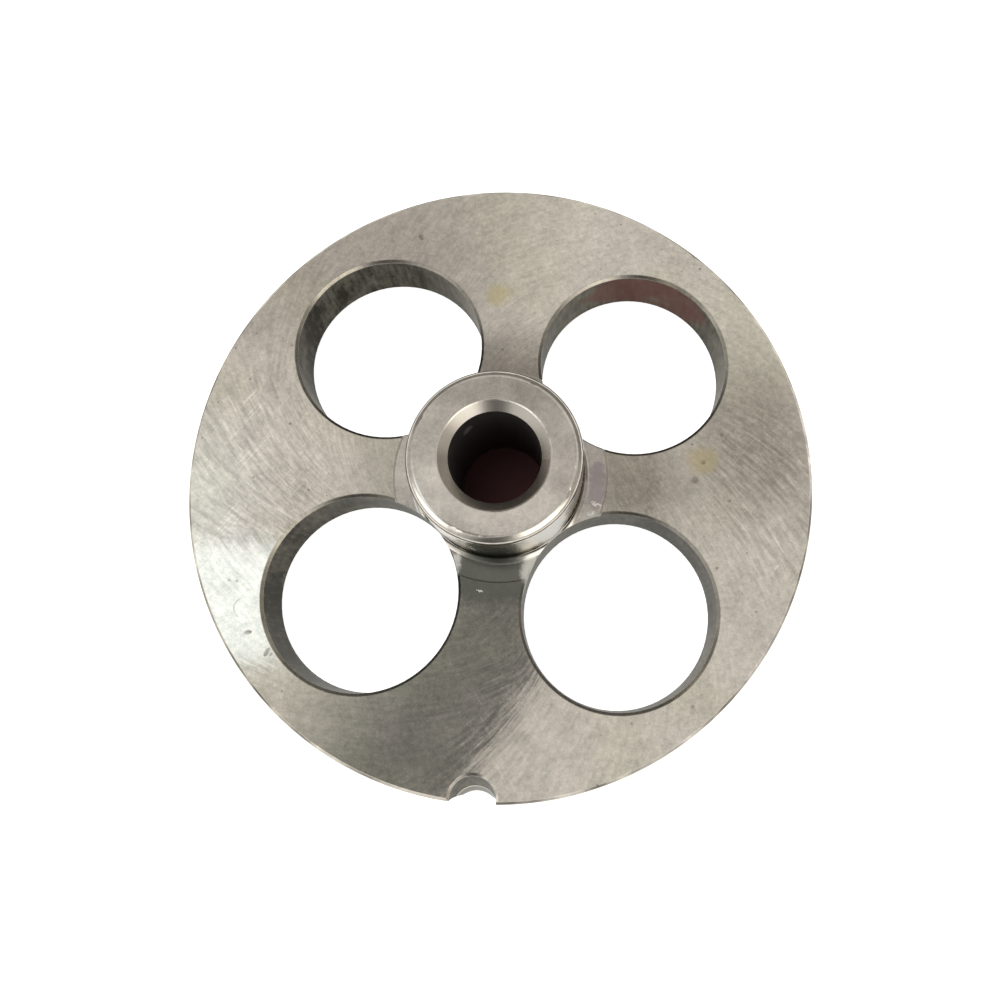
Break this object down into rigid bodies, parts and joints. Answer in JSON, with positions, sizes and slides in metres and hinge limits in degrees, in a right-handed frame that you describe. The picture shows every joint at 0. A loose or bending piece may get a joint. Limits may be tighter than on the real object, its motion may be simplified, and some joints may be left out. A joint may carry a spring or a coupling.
{
  "type": "meat grinder plate",
  "caption": "Round steel grinder plate with large round through holes, a raised central hub with a through bore, and a half-round locating notch in the rim.",
  "frame": {"origin": "centre of the flat back face, on the axis of the hub and bore", "axes": "+Z along the hub, away from the back face; the locating notch is on the -Y side; the part lies on its back face"},
  "size_m": [0.0984, 0.0983, 0.0254],
  "materials": {
    "ground_steel": "turned and ground, finely scratched, with small pits and faint stains"
  },
  "bodies": {
    "root": {"grinder_plate": "ground_steel"}
  },
  "joints": []
}
